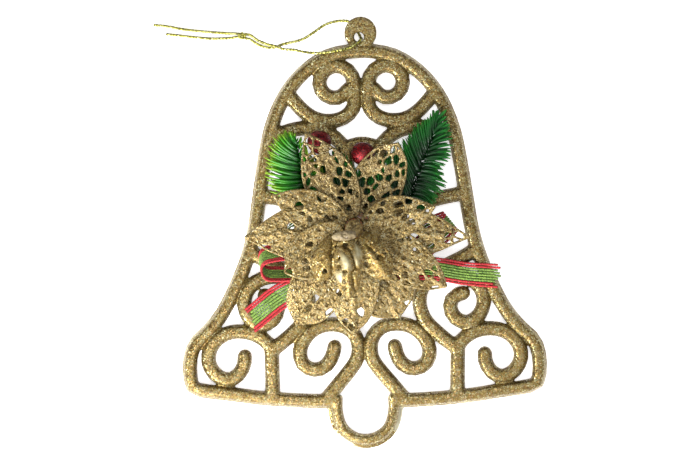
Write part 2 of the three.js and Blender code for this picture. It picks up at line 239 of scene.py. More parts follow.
def strand_coat(shader):
    """Flakes on the strands of the lace, few on the film between them, and none on the lumps."""
    strand = shader.add("Attribute", attribute_name="strand").outputs["Fac"]
    patchy = shader.span(shader.noise(0.6 * MM), 0.38, 0.6)
    coat = shader.math("MULTIPLY", shader.scaled(strand, 0.5, 0.5), shader.scaled(patchy, 0.4, 0.6))
    bare = shader.add("Attribute", attribute_name="bare").outputs["Fac"]
    return shader.math("MULTIPLY", coat, shader.scaled(bare, -0.88, 1.0))


GOLD_STOPS = [
    (0.0, linear(88, 61, 22)),
    (0.3, linear(126, 97, 42)),
    (0.55, linear(158, 130, 64)),
    (0.73, linear(172, 149, 82)),
    (0.8, linear(152, 152, 106)),
    (0.88, linear(206, 188, 118)),
    (1.0, linear(255, 250, 200)),
]
LACE_STOPS = [
    (0.0, linear(74, 52, 17)),
    (0.25, linear(125, 98, 43)),
    (0.5, linear(168, 140, 76)),
    (0.75, linear(211, 188, 122)),
    (1.0, linear(252, 244, 202)),
]
# A darker copy of the lace's colours: painted shade for the two upper outer petals.
SHADED_LACE_STOPS = [
    (0.0, linear(58, 42, 16)),
    (0.25, linear(104, 82, 38)),
    (0.5, linear(143, 119, 66)),
    (0.75, linear(182, 160, 102)),
    (1.0, linear(234, 220, 170)),
]
CURL_STOPS = [
    (0.0, linear(84, 58, 16)),
    (0.3, linear(144, 108, 40)),
    (0.55, linear(182, 148, 68)),
    (0.8, linear(220, 194, 112)),
    (1.0, linear(250, 242, 192)),
]
BERRY_STOPS = [
    (0.0, linear(50, 2, 7)),
    (0.45, linear(114, 4, 14)),
    (0.85, linear(170, 10, 22)),
    (1.0, linear(228, 62, 66)),
]


def leaf_material(name, stops):
    """Glossy plastic needles whose colour runs from root to tip."""
    shader = Shader(name, Roughness=0.28, Specular_IOR_Level=0.22)
    along = shader.add("Attribute", attribute_name="along").outputs["Fac"]
    wander = shader.math("MULTIPLY", shader.noise(1.6 * MM), 0.5)
    wander = shader.math("SUBTRACT", wander, 0.25)
    colour = shader.ramp(shader.math("ADD", along, wander, clamp=True), stops)
    shader.put(colour, shader.bsdf.inputs["Base Color"])
    shader.bump(shader.noise(0.5 * MM), 0.05 * MM, 0.6)
    return shader.material


def cord_material(name, deep, bright):
    """Spun fibre: fine streaks of two shades and a soft sheen."""
    shader = Shader(name, Roughness=0.72, Sheen_Weight=0.1, Sheen_Roughness=0.4)
    streaks = shader.noise(0.4 * MM, 4.0)
    colour = shader.ramp(streaks, [(0.36, deep), (0.62, bright)])
    shader.put(colour, shader.bsdf.inputs["Base Color"])
    shader.bump(streaks, 0.06 * MM)
    return shader.material


def plain_material(name, deep, bright, grain, relief, **sockets):
    """A plastic, paper or glue surface with mottled colour and a fine grain."""
    shader = Shader(name, **sockets)
    mottle = shader.noise(grain, 4.0)
    shader.put(shader.ramp(mottle, [(0.3, deep), (0.7, bright)]), shader.bsdf.inputs["Base Color"])
    shader.bump(mottle, relief)
    return shader.material


def thread_material():
    """Metallised film wound round a yarn, so bright flashes lie between darker gaps."""
    shader = Shader("metallic_thread", Metallic=0.75)
    cells = shader.cells(THREAD_FLAKE_SIZE)
    split = shader.add("SeparateColor", {"Color": cells})
    stops = [
        (0.0, linear(88, 86, 30)),
        (0.3, linear(156, 150, 58)),
        (0.65, linear(208, 202, 92)),
        (1.0, linear(252, 250, 176)),
    ]
    shader.put(shader.ramp(split.outputs[0], stops), shader.bsdf.inputs["Base Color"])
    shader.put(shader.scaled(split.outputs[1], 0.3, 0.2), shader.bsdf.inputs["Roughness"])
    shader.bump(shader.noise(0.3 * MM), 0.05 * MM)
    return shader.material


GOLD = glitter("gold_glitter", GOLD_STOPS, shaded_moulding_plastic, front_coat, plain_metal=0.6)
LACE = glitter("gold_lace", LACE_STOPS, lace_film, strand_coat, tilt=0.8)
# Painted shade: the lace of the two upper outer petals, darker than gold_lace.
SHADED_LACE = glitter("shaded_gold_lace", SHADED_LACE_STOPS, lace_film, strand_coat, tilt=0.8)
PALE_LACE = glitter("pale_gold_lace", CURL_STOPS, lace_film, strand_coat, tilt=0.8, plain_roughness=0.5)
BERRY = glitter("red_berry", BERRY_STOPS, berry_plastic, full_coat, tilt=0.3, metal=0.6)
LEFT_LEAF = leaf_material("light_needles", [
    (0.0, linear(8, 52, 10)),
    (0.35, linear(28, 116, 20)),
    (0.7, linear(70, 164, 30)),
    (1.0, linear(164, 204, 56)),
])
RIGHT_LEAF = leaf_material("dark_needles", [
    (0.0, linear(2, 26, 6)),
    (0.4, linear(6, 70, 18)),
    (0.8, linear(18, 112, 32)),
    (1.0, linear(60, 148, 48)),
])
RED_CORD = cord_material("ribbon_red", linear(146, 5, 14), linear(238, 30, 46))
GREEN_CORD = cord_material("ribbon_green", linear(50, 92, 14), linear(160, 200, 78))
STEM = plain_material(
    "stem_green", linear(14, 50, 18), linear(34, 92, 34), 1.5 * MM, 0.05 * MM,
    Roughness=0.4,
)
WIRE = plain_material(
    "wire_green", linear(30, 66, 30), linear(70, 110, 60), 0.6 * MM, 0.08 * MM,
    Roughness=0.6,
)
GLUE = plain_material(
    "hot_glue", linear(206, 196, 160), linear(236, 230, 205), 3 * MM, 0.2 * MM,
    Roughness=0.25, Subsurface_Weight=0.3, Coat_Weight=0.4,
)
FILM = plain_material(
    "dull_film", linear(104, 84, 52), linear(190, 170, 126), 1.2 * MM, 0.15 * MM,
    Roughness=0.5, Metallic=0.1,
)
THREAD = thread_material()


# --- Mesh helpers -----------------------------------------------------------------------------

def new_piece(name, verts, faces, *materials):
    mesh = bpy.data.meshes.new(name)
    mesh.from_pydata([tuple(v) for v in np.asarray(verts, float)], [], [tuple(map(int, f)) for f in faces])
    mesh.update()
    piece = bpy.data.objects.new(name, mesh)
    bpy.context.collection.objects.link(piece)
    for material in materials:
        mesh.materials.append(material)
    return piece


def settle(piece, body, slot, *nodes):
    """The piece rides on a body and stands for some CAD nodes. slot is not used."""
    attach(piece, body)
    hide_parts(*nodes)


def shade(piece, smooth):
    """smooth is True, False or one flag for each face."""
    flags = np.broadcast_to(np.asarray(smooth, bool), len(piece.data.polygons))
    piece.data.polygons.foreach_set("use_smooth", flags.copy())
    piece.data.update()


def catmull(points, spacing):
    """Points a given spacing apart on a smooth curve through points."""
    points = np.asarray(points, float)
    ends = [2 * points[0] - points[1]], [2 * points[-1] - points[-2]]
    padded = np.concatenate([ends[0], points, ends[1]])
    t = np.linspace(0, 1, 24, endpoint=False)[:, None]
    dense = []
    for a, b, c, d in zip(padded, padded[1:], padded[2:], padded[3:]):
        cubic = 2 * b + (c - a) * t + (2 * a - 5 * b + 4 * c - d) * t**2 + (3 * b - a - 3 * c + d) * t**3
        dense.append(cubic / 2)
    dense = np.concatenate(dense + [points[-1:]])
    lengths = np.concatenate([[0], np.cumsum(np.linalg.norm(np.diff(dense, axis=0), axis=1))])
    count = max(3, int(round(lengths[-1] / spacing)) + 1)
    places = np.linspace(0, lengths[-1], count)
    return np.stack([np.interp(places, lengths, dense[:, k]) for k in range(dense.shape[1])], axis=1)


def frames_along(points):
    """Two unit vectors across the path at each point, which turn as little as they can."""
    tangents = np.gradient(points, axis=0)
    tangents /= np.linalg.norm(tangents, axis=1)[:, None]
    last = np.array([0, 0, 1.0]) if abs(tangents[0][2]) < 0.8 else np.array([1.0, 0, 0])
    across = []
    for tangent in tangents:
        last = last - tangent * (last @ tangent)
        last = last / np.linalg.norm(last)
        across.append(last)
    across = np.array(across)
    return across, np.cross(tangents, across)


def tube(points, radii):
    """A closed tube. radii has one row for each point and one column for each side."""
    points = np.asarray(points, float)
    rings, sides = radii.shape
    across, other = frames_along(points)
    angles = np.arange(sides) * 2 * np.pi / sides
    offsets = across[:, None] * np.cos(angles)[None, :, None] + other[:, None] * np.sin(angles)[None, :, None]
    verts = (points[:, None] + offsets * radii[:, :, None]).reshape(-1, 3)
    verts = np.concatenate([verts, points[:1], points[-1:]])
    ring, side = np.meshgrid(np.arange(rings - 1), np.arange(sides), indexing="ij")
    here = ring * sides + side
    beside = ring * sides + (side + 1) % sides
    quads = np.stack([here, beside, beside + sides, here + sides], axis=-1).reshape(-1, 4).tolist()
    first, last = rings * sides, rings * sides + 1
    end = (rings - 1) * sides
    for k in range(sides):
        after = (k + 1) % sides
        quads.append([after, k, first])
        quads.append([end + k, end + after, last])
    return verts, quads


def joined(parts):
    """Several (verts, faces) as one, and which part each face came from."""
    verts, faces, source = [], [], []
    count = 0
    for i, (part_verts, part_faces) in enumerate(parts):
        verts.append(part_verts)
        faces.extend([[v + count for v in face] for face in part_faces])
        source.extend([i] * len(part_faces))
        count += len(part_verts)
    return np.concatenate(verts), faces, np.array(source)


def refined(name, node, voxel, rounds):
    """A fine, softened copy of a CAD node's surface as a new piece."""
    piece = bpy.data.objects.new(name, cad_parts[node].data.copy())
    bpy.context.collection.objects.link(piece)
    piece.data.materials.clear()
    remesh = piece.modifiers.new("remesh", "REMESH")
    remesh.mode = "VOXEL"
    remesh.voxel_size = voxel
    soften = piece.modifiers.new("soften", "SMOOTH")
    soften.factor = 0.5
    soften.iterations = rounds
    bpy.context.view_layer.update()
    mesh = bpy.data.meshes.new_from_object(piece.evaluated_get(bpy.context.evaluated_depsgraph_get()))
    piece.modifiers.clear()
    piece.data = mesh
    return piece


def resurfaced(name, node, voxel, rounds, material, slot):
    """A refined copy of a CAD node of the bell that needs no more shape than that."""
    piece = refined(name, node, voxel, rounds)
    piece.data.materials.append(material)
    shade(piece, True)
    settle(piece, "bell", slot, node)


def coordinates(piece):
    co = np.empty(len(piece.data.vertices) * 3, np.float32)
    piece.data.vertices.foreach_get("co", co)
    return co.reshape(-1, 3).astype(float)


def normals(piece):
    values = np.empty(len(piece.data.vertices) * 3, np.float32)
    piece.data.vertex_normals.foreach_get("vector", values)
    return values.reshape(-1, 3).astype(float)


def set_coordinates(piece, co):
    piece.data.vertices.foreach_set("co", co.astype(np.float32).ravel())
    piece.data.update()


# --- Hanging thread ---------------------------------------------------------------------------

THREAD_DIAMETER = 1.0 * MM
PLY_PITCH = 2.2 * MM
THREAD_SIDES = 16
THREAD_FRONT = [
    (0.3, 64.5, 2.6), (0.3, 64.5, 3.6), (0.1, 64.1, 4.9), (-0.8, 63.2, 5.5), (-2.2, 62.2, 5.7),
    (-4.3, 61.2, 5.7), (-9.3, 60.2, 5.7), (-13.4, 59.8, 5.4), (-16.4, 60, 4.2), (-19.3, 60.5, 2.2),
    (-22.2, 61.2, 0.9),
    (-25.6, 61.5, 1.1), (-28.6, 62.5, 2.1), (-31.4, 63.3, 1.5), (-34.6, 64.8, 0.8), (-36.9, 66.4, 1.1),
    (-39.4, 66.6, 1.5), (-41.6, 66.9, 1.1), (-43.9, 67, 0.7), (-48.9, 67.4, 0.62), (-54, 67.9, 0.62),
    (-59.3, 68.6, 0.62), (-64.5, 69.6, 0.62), (-68.9, 70.1, 0.62),
]
THREAD_BACK = [
    (0.3, 64.5, 2), (0.2, 64.7, 1.4), (-0.2, 65.6, 0.75), (-1, 67.2, 0.62), (-2.2, 69, 0.62),
    (-3.6, 70.3, 0.62), (-5.8, 70.7, 0.62), (-9.2, 70.3, 0.62), (-12.2, 69.2, 0.62), (-15.6, 66.9, 0.62),
    (-18.9, 64.9, 0.62),
    (-21.8, 64, 0.62), (-25.6, 63.2, 0.62), (-29.2, 62, 0.62), (-32, 62.3, 0.62), (-34.6, 63.4, 0.62),
    (-36.9, 64.9, 0.8), (-39.2, 65.4, 0.8), (-41.4, 65.7, 0.9), (-43.4, 65.4, 0.62), (-49.3, 65.3, 0.62),
    (-55, 65.8, 0.62), (-61.4, 66.6, 0.62), (-64.8, 67, 0.62),
]


STRANDS = {
    "thread_front_strand": (THREAD_FRONT, "thread_front", "thread_tail_upper"),
    "thread_back_strand": (THREAD_BACK, "thread_back", "thread_tail_lower"),
}


def twisted(points, diameter):
    """Radii of a two-ply thread: a figure of eight that turns along the path."""
    places = np.concatenate([[0], np.cumsum(np.linalg.norm(np.diff(points, axis=0), axis=1))])
    angles = np.arange(THREAD_SIDES) * 2 * np.pi / THREAD_SIDES
    turn = angles[None, :] - (2 * np.pi * places / PLY_PITCH)[:, None]
    return diameter / 2 * (0.72 + 0.28 * np.abs(np.cos(turn)))


def make_thread():
    turns = np.linspace(0, 4 * np.pi, 160)
    loop = np.stack([
        -39.4 + 0.66 * (np.sin(turns) + 1.1 * np.sin(1.5 * turns)),
        66.1 + 0.5 * (np.cos(turns) - 0.9 * np.cos(2.5 * turns)),
        1.2 - 0.5 * np.sin(3 * turns),
    ], axis=1) * MM
    knot = new_piece("thread_knot_turns", *tube(loop, twisted(loop, 0.9 * THREAD_DIAMETER)), THREAD)
    shade(knot, True)
    settle(knot, "hanging_thread", "metallic_thread", "thread_knot")
    for name, (route, *nodes) in STRANDS.items():
        points = catmull(np.array(route) * MM, 0.16 * MM)
        piece = new_piece(name, *tube(points, twisted(points, THREAD_DIAMETER)), THREAD)
        shade(piece, True)
        settle(piece, "hanging_thread", "metallic_thread", *nodes)


make_thread()


# --- Moulded frame ----------------------------------------------------------------------------

def make_frame():
    """The moulding, softened at its edges, with the grain of the flakes on its front. Softening
    takes a little off it, which plump gives back except at the flat back."""
    piece = refined("bell_moulding", "bell_frame", 0.36 * MM, 5)
    co = coordinates(piece)
    normal = normals(piece)
    front = np.clip((normal[:, 2] + 0.05) / 0.35, 0, 1) * np.clip((co[:, 2] / MM - 1.6) / 0.6, 0, 1)
    grain = rng.uniform(-0.02, 0.03, len(co)) * front * MM
    plump = 0.1 * MM * (co[:, 2] > 0.3 * MM)
    co += normal * (grain + plump)[:, None]
    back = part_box("bell_frame")[0][2]
    co[:, 2] = np.clip(co[:, 2], back, None)
    set_coordinates(piece, co)
    piece.data.materials.append(GOLD)
    shade(piece, True)
    settle(piece, "bell", "gold_glitter_plastic", "bell_frame")


make_frame()


# --- Lace petals ------------------------------------------------------------------------------

# In mm, as all of the lace is until it is placed.
GRID = 0.27
EDGE_ROUNDING = 0.4
LACE_HALF_THICKNESS = 0.3
FILM_SINK = 0.3
RIM_WIDTH = 0.75
STRAND_HALF_WIDTHS = (0.28, 0.55)
CELL_ROUNDING = 0.12
STRETCH = 1.3
SEED_WANDER = 0.34


class Leaf:
    """The middle surface of a CAD petal, as heights over its own length s and width t, in mm."""

    def __init__(self, node):
        co = np.array([v.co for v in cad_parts[node].data.vertices]) / MM
        self.centre = co[:, :2].mean(axis=0)
        _, _, axes = np.linalg.svd(co[:, :2] - self.centre, full_matrices=False)
        low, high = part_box("flower_calyx")
        calyx = np.array([(low[k] + high[k]) / 2 for k in range(2)]) / MM
        outward = axes[0] * np.sign(axes[0] @ (self.centre - calyx) + 1e-9)
        self.along = outward / np.linalg.norm(outward)
        self.across = np.array([-self.along[1], self.along[0]])
        s = (co[:, :2] - self.centre) @ self.along
        t = (co[:, :2] - self.centre) @ self.across
        self.start, self.end = s.min(), s.max()
        stations = np.unique(np.round(s, 1))
        half, middle, edge = [], [], []
        for station in stations:
            here = np.abs(s - station) < 0.12
            half.append(np.abs(t[here]).max())
            outer = here & (np.abs(t) > 0.9 * half[-1])
            inner = here & (np.abs(t) < 0.3 * half[-1] + 0.05)
            edge.append(co[outer, 2].mean())
            middle.append(co[inner, 2].mean() if inner.any() else co[here, 2].mean())
        curve = catmull(np.stack([stations, half, middle, edge], axis=1), 0.5)
        self.stations, self.halves, self.middles, self.edges = curve.T

    def half(self, s):
        return np.interp(s, self.stations, self.halves)

    def height(self, s, t):
        share = np.clip(np.abs(t) / np.maximum(self.half(s), 0.2), 0, 1.3)
        middle = np.interp(s, self.stations, self.middles)
        edge = np.interp(s, self.stations, self.edges)
        return middle + (edge - middle) * share**2

    def place(self, s, t, z):
        flat = self.centre + s[:, None] * self.along + t[:, None] * self.across
        return np.concatenate([flat, z[:, None]], axis=1) * MM


def lace_field(leaf, s, t, pitch, filled, solid):
    """Two values for each point: how far it is inside the lace, below nought in its holes and
    outside; and from 0 to 1 how much of a strand it is, against the film that fills a cell.

    The cells are a Voronoi pattern, longer than wide by STRETCH. filled is the share of them that
    film fills, more of them towards the root, and solid is 1 where there are no holes at all.
    """
    half = leaf.half(s)
    slope = np.gradient(leaf.halves, leaf.stations)
    slant = np.sqrt(1 + np.interp(s, leaf.stations, slope) ** 2)
    inside = np.minimum((half - np.abs(t)) / slant, np.minimum(s - leaf.start, leaf.end - s) + 0.1)
    widest = leaf.halves.max()
    rows = np.arange(leaf.start, leaf.end + pitch * STRETCH, pitch * STRETCH)
    columns = np.arange(-widest - pitch, widest + pitch, pitch * 0.87)
    seeds = np.array([
        [row + (k % 2) * pitch * STRETCH / 2, column] for row in rows for k, column in enumerate(columns)
    ])
    seeds += rng.uniform(-SEED_WANDER, SEED_WANDER, seeds.shape) * pitch * np.array([STRETCH, 1])
    web = rng.uniform(*STRAND_HALF_WIDTHS, len(seeds))
    reach = (seeds[:, 0] - leaf.start) / (leaf.end - leaf.start)
    closed = rng.random(len(seeds)) < filled + 0.5 * np.clip(0.5 - reach, 0, 0.5)
    scale = np.array([1 / STRETCH, 1])
    points = np.stack([s, t], axis=1) * scale
    far = np.linalg.norm(points[:, None] - (seeds * scale)[None], axis=2)
    order = np.argsort(far, axis=1)[:, :5]
    near = np.take_along_axis(far, order, axis=1)
    first = (seeds * scale)[order[:, 0]]
    to_edge = []
    for k in range(1, 5):
        apart = np.linalg.norm((seeds * scale)[order[:, k]] - first, axis=1)
        to_edge.append((near[:, k] ** 2 - near[:, 0] ** 2) / (2 * apart))
    blended = -CELL_ROUNDING * np.log(sum(np.exp(-d / CELL_ROUNDING) for d in to_edge))
    width = web[order[:, 0]]
    net = np.where(closed[order[:, 0]], 9.0, width - blended)
    rim = RIM_WIDTH - inside
    strand = np.clip(1.6 - (blended - width) / 0.3, 0, 1)
    strand = np.maximum(strand, np.clip(1 + rim / 0.3, 0, 1))
    net = np.maximum(net, 3 * solid - 1)
    return np.minimum(np.maximum(net, rim), inside), strand


def covered(field, strand, spans):
    """Polygons over a grid where field is above nought, with their corners on its zero line."""
    points, values, strands, index, faces = [], [], [], {}, []
    rows, columns = field.shape

    def corner(i, j):
        if (i, j) not in index:
            index[i, j] = len(points)
            points.append((spans[0][i], spans[1][j]))
            values.append(field[i, j])
            strands.append(strand[i, j])
        return index[i, j]

    def crossing(a, b):
        key = (a, b) if a < b else (b, a)
        if key not in index:
            fa, fb = field[a], field[b]
            share = fa / (fa - fb)
            index[key] = len(points)
            points.append(tuple(
                spans[k][a[k]] + share * (spans[k][b[k]] - spans[k][a[k]]) for k in range(2)
            ))
            values.append(0.0)
            strands.append(1.0)
        return index[key]

    for i in range(rows - 1):
        for j in range(columns - 1):
            around = [(i, j), (i + 1, j), (i + 1, j + 1), (i, j + 1)]
            inside = [field[c] > 0 for c in around]
            if not any(inside):
                continue
            face = []
            for k in range(4):
                a, b = around[k], around[(k + 1) % 4]
                if inside[k]:
                    face.append(corner(*a))
                if inside[k] != inside[(k + 1) % 4]:
                    face.append(crossing(a, b))
            if len(face) > 2:
                faces.append(face)
    return np.array(points), np.array(values), np.array(strands), faces


def largest_part(count, faces):
    """The faces of the largest connected part, so that no loose scrap of lace is kept."""
    parent = list(range(count))

    def root(a):
        while parent[a] != a:
            parent[a] = parent[parent[a]]
            a = parent[a]
        return a

    for face in faces:
        for b in face[1:]:
            parent[root(b)] = root(face[0])
    sizes = {}
    for face in faces:
        sizes[root(face[0])] = sizes.get(root(face[0]), 0) + 1
    best = max(sizes, key=sizes.get)
    return [face for face in faces if root(face[0]) == best]


# Lines along which the middle of the flower is creased, and its smooth lumps, in mm. Each lump is
# (x, y, half width, half length, angle in degrees).
CREASES = [
    [(-10.2, -3.1), (-10.6, -7), (-10.5, -13.1)],
    [(-8.8, -4.4), (-6.4, -4.3), (-4.5, -5.9), (-2.8, -11), (-3.9, -13.1), (-3.2, -18.4)],
    [(-2.8, 0.7), (0, -0.3), (3.6, 0.3), (6.7, -1.4), (4.4, -3.1)],
    [(1, -4), (3.5, -6.5), (6, -8)],
]
LUMPS = [(-1.9, -6.6, 1.9, 4.8, 92), (-6.1, -9.4, 2, 4, 112), (-7.8, -14, 1.7, 2.8, 95)]
CREASE_DEPTH, CREASE_WIDTH = 1.2, 0.55


def flat_places(leaf, s, t):
    return leaf.place(s, t, np.zeros_like(s))[:, :2] / MM


def creases(leaf, s, t):
    places = flat_places(leaf, s, t)
    depth = np.zeros(len(places))
    for line in CREASES:
        points = catmull(np.array(line, float), 0.3)
        nearest = np.linalg.norm(places[:, None] - points[None], axis=2).min(axis=1)
        depth = np.maximum(depth, CREASE_DEPTH * np.exp(-((nearest / CREASE_WIDTH) ** 2)))
    return -depth


def bareness(leaf, s, t):
    """From 0 to 1, how much a point is on a smooth lump."""
    places = flat_places(leaf, s, t)
    bare = np.zeros(len(places))
    for x, y, half_width, half_length, angle in LUMPS:
        along = np.array([math.cos(math.radians(angle)), math.sin(math.radians(angle))])
        offset = places - np.array([x, y])
        u, v = offset @ along / half_length, offset @ np.array([-along[1], along[0]]) / half_width
        ragged = 0.18 * np.sin(2.1 * places[:, 0] + 1.3 * places[:, 1])
        bare = np.maximum(bare, np.clip(1.3 - 1.3 * np.sqrt(u**2 + v**2) + ragged, 0, 1))
    return bare


def two_sided(top, under, inside, faces):
    """A closed mesh from a top and an underside, which share the points where inside is nought.
    The last value gives the point that each of its vertices came from."""
    count = len(top)
    inner = np.flatnonzero(inside > 0)
    other_side = np.arange(count)
    other_side[inner] = count + np.arange(len(inner))
    turned = [[other_side[v] for v in reversed(face)] for face in faces]
    verts = np.concatenate([top, under[inner]])
    origin = np.concatenate([np.arange(count), inner])
    used = np.unique(np.concatenate([np.ravel(face) for face in faces + turned]))
    renumber = np.full(len(verts), -1)
    renumber[used] = np.arange(len(used))
    return verts[used], [[renumber[v] for v in face] for face in faces + turned], origin[used]


def make_lace(name, node, material, slot, filled, pitch=2.6, crumpled=False):
    leaf = Leaf(node)
    widest = leaf.halves.max() + 0.5
    spans = np.arange(leaf.start - GRID, leaf.end + 2 * GRID, GRID), np.arange(-widest, widest + GRID, GRID)
    grid_s, grid_t = np.meshgrid(*spans, indexing="ij")
    solid = bareness(leaf, grid_s.ravel(), grid_t.ravel()) if crumpled else 0
    field, strand = lace_field(leaf, grid_s.ravel(), grid_t.ravel(), pitch, filled, solid)
    points, inside, strand, faces = covered(
        field.reshape(grid_s.shape), strand.reshape(grid_s.shape), spans,
    )
    faces = largest_part(len(points), faces)
    s, t = points.T
    phase = rng.uniform(0, 6.28, 3)

    def surface(s, t):
        """Height of the lace's middle: the leaf's own, with waves and a midrib."""
        share = t / np.maximum(leaf.half(s), 1)
        reach = np.clip((s - leaf.start) / (leaf.end - leaf.start), 0, 1)
        wave = np.sin(0.45 * s + phase[0]) * share**2 + 0.6 * np.sin(0.7 * t + 0.3 * s + phase[1])
        z = leaf.height(s, t) + 0.3 * reach * wave + 0.35 * np.exp(-((t / 0.9) ** 2))
        return z + (creases(leaf, s, t) + 0.6 * bareness(leaf, s, t) if crumpled else 0)

    step = 0.2
    z = surface(s, t)
    tilt = np.stack([
        -(surface(s + step, t) - z) / step, -(surface(s, t + step) - z) / step, np.ones_like(z),
    ], axis=1)
    tilt /= np.linalg.norm(tilt, axis=1)[:, None]
    normal = tilt[:, :1] * np.append(leaf.along, 0) + tilt[:, 1:2] * np.append(leaf.across, 0)
    normal[:, 2] += tilt[:, 2]
    bare = bareness(leaf, s, t) if crumpled else np.zeros(len(s))
    sunk = FILM_SINK * (1 - strand) * (1 - bare)
    share = np.clip(inside / EDGE_ROUNDING, 0, 1)
    thick = LACE_HALF_THICKNESS * np.sqrt(share * (2 - share)) - 0.8 * sunk * LACE_HALF_THICKNESS
    grain = rng.uniform(-0.03, 0.07, (2, len(s))) * (inside > 0.12) * (1 - bare)
    middle = leaf.place(s, t, z - sunk)
    top = middle + normal * ((thick + grain[0]) * MM)[:, None]
    under = middle - normal * ((thick + grain[1]) * MM)[:, None]
    verts, faces, origin = two_sided(top, under, inside, faces)
    piece = new_piece(name, verts, faces, material)
    for label, values in {"strand": strand, "bare": bare}.items():
        piece.data.attributes.new(label, "FLOAT", "POINT").data.foreach_set("value", values[origin])
    whole = bare[origin]
    shade(piece, [whole[face].mean() > 0.3 for face in faces])
    settle(piece, "bell", slot, node)


# For each petal, its lace, where the darker copy on the two upper outer petals is painted shade, and the
# share of its cells that are filled.
OUTER_PETALS = [(SHADED_LACE, 0.35), (SHADED_LACE, 0.3), (LACE, 0.55), (LACE, 0.85), (LACE, 0.85), (LACE, 0.8)]
UPPER_PETALS = [(LACE, 0.6), (LACE, 0.5), (LACE, 0.65), (LACE, 0.85), (LACE, 0.85)]


def make_flower():
    for layer, petals in {"outer": OUTER_PETALS, "upper": UPPER_PETALS}.items():
        for i, (material, filled) in enumerate(petals, 1):
            make_lace(f"lace_{layer}_{i}", f"{layer}_petal_{i}", material, "gold_lace", filled)
    for i in range(1, 4):
        make_lace(
            f"lace_curled_{i}", f"curled_petal_{i}", PALE_LACE, "pale_gold_lace",
            filled=0.7, pitch=2.2, crumpled=True,
        )
    make_lace("film_fold", "centre_fold", FILM, "pale_gold_lace", filled=1.0)


make_flower()


# --- Pine sprigs ------------------------------------------------------------------------------

NEEDLE_SIDES = 6
NEEDLE_RINGS = 10


def needle(root, tip, width, bow, lift):
    """One curved, tapering needle from root to tip. bow bends it in the flat, lift out of it."""
    share = np.linspace(0, 1, NEEDLE_RINGS)[:, None]
    root, tip = np.asarray(root, float), np.asarray(tip, float)
    run = tip - root
    aside = np.array([-run[1], run[0], 0])
    curve = share * (1 - share) * 4
    points = (root + run * share + aside * bow * curve + np.array([0, 0, lift]) * curve) * MM
    taper = width / 2 * np.minimum(1, 0.45 + 2.2 * share[:, 0]) * np.clip(1.02 - share[:, 0], 0, 1) ** 0.35
    angles = np.arange(NEEDLE_SIDES) * 2 * np.pi / NEEDLE_SIDES
    flat = 0.6 + 0.4 * np.abs(np.sin(angles))
    radii = np.maximum(taper, 0.05)[:, None] * flat[None, :] * MM
    return tube(points, radii)


def make_sprig(side, material, slot, fans):
    """Fans of needles and the stem. Each fan is the number of its needles, the line of their roots
    and the line of their tips as (x, y), their width, their bow, and their lowest and highest z."""
    parts = []
    for count, roots, tips, width, bow, (low, high) in fans:
        roots, tips = catmull(np.array(roots, float), 0.2), catmull(np.array(tips, float), 0.2)
        for k in range(count):
            share = np.clip((k + rng.uniform(-0.6, 0.6)) / (count - 1), 0, 1)
            root = roots[int(share * (len(roots) - 1))] + rng.uniform(-0.5, 0.5, 2)
            tip = tips[int(share * (len(tips) - 1))] + rng.uniform(-0.4, 0.4, 2)
            tip = root + (tip - root) * rng.uniform(0.8, 1.03)
            root = np.append(root, rng.uniform(low, high))
            tip = np.append(tip, rng.uniform(low, high))
            parts.append(needle(root, tip, width, bow * rng.uniform(0.5, 1.5), rng.uniform(0, 0.7)))
    verts, faces, _ = joined(parts)
    piece = new_piece(f"needles_{side}", verts, faces, material)
    ring_share = np.repeat(np.linspace(0, 1, NEEDLE_RINGS), NEEDLE_SIDES)
    one = np.concatenate([ring_share, [0, 1]])
    piece.data.attributes.new("along", "FLOAT", "POINT").data.foreach_set("value", np.tile(one, len(parts)))
    shade(piece, True)
    settle(piece, "bell", slot, f"sprig_{side}_needles")
    resurfaced(f"stem_{side}", f"sprig_{side}_stem", 0.22 * MM, 4, STEM, slot)


LEFT_ROOTS = [(-18.8, 11.6), (-19.4, 15), (-20, 20), (-20.8, 26), (-21.8, 30)]
LEFT_TIPS = [
    (-25, 11.8), (-28, 13), (-30.4, 14.6), (-31.7, 18), (-32.1, 23), (-31.2, 27.8), (-28.8, 32.3),
    (-25, 34.3), (-22.4, 33),
]
LEFT_HIDDEN = [(-11, 15.4), (-14, 22.4), (-18.8, 26), (-19.2, 30.6), (-21, 32.6)]
LEFT_OF_BERRY = [(-15.2, 25.4), (-16.6, 26), (-18.6, 27.8), (-19.6, 30)]
LEFT_LOW = [(-25.6, 10.6), (-27, 6), (-26.4, 2.4), (-24.4, 0.4), (-21.4, 0), (-17, 1.4)]
# The last fans of each sprig are the needles that show through the petals' lace.
make_sprig("left", LEFT_LEAF, "light_green_plastic", [
    (38, LEFT_ROOTS, LEFT_TIPS, 1.25, 0.05, (7.5, 8.9)),
    (70, LEFT_ROOTS, LEFT_TIPS, 1.35, 0.1, (6.9, 7.7)),
    (40, LEFT_ROOTS, LEFT_HIDDEN, 0.9, -0.06, (7, 8.6)),
    (50, [(-9.4, 9.4), (-11, 8.4), (-13, 8)], LEFT_HIDDEN, 1.0, 0.03, (7, 8.6)),
    (40, [(-18.5, 11), (-16.5, 9.5), (-14.5, 8.5)], LEFT_LOW, 0.9, 0.05, (7, 8.7)),
    (30, [(-16.4, 12), (-18.4, 16)], LEFT_OF_BERRY, 1.2, 0.02, (6.9, 7.9)),
    (30, [(-10.8, -2.6), (-11, 1), (-10.8, 4)], [(-20, -2.2), (-20.4, 2), (-18, 6)], 1.2, 0.04, (5.5, 6.4)),
])

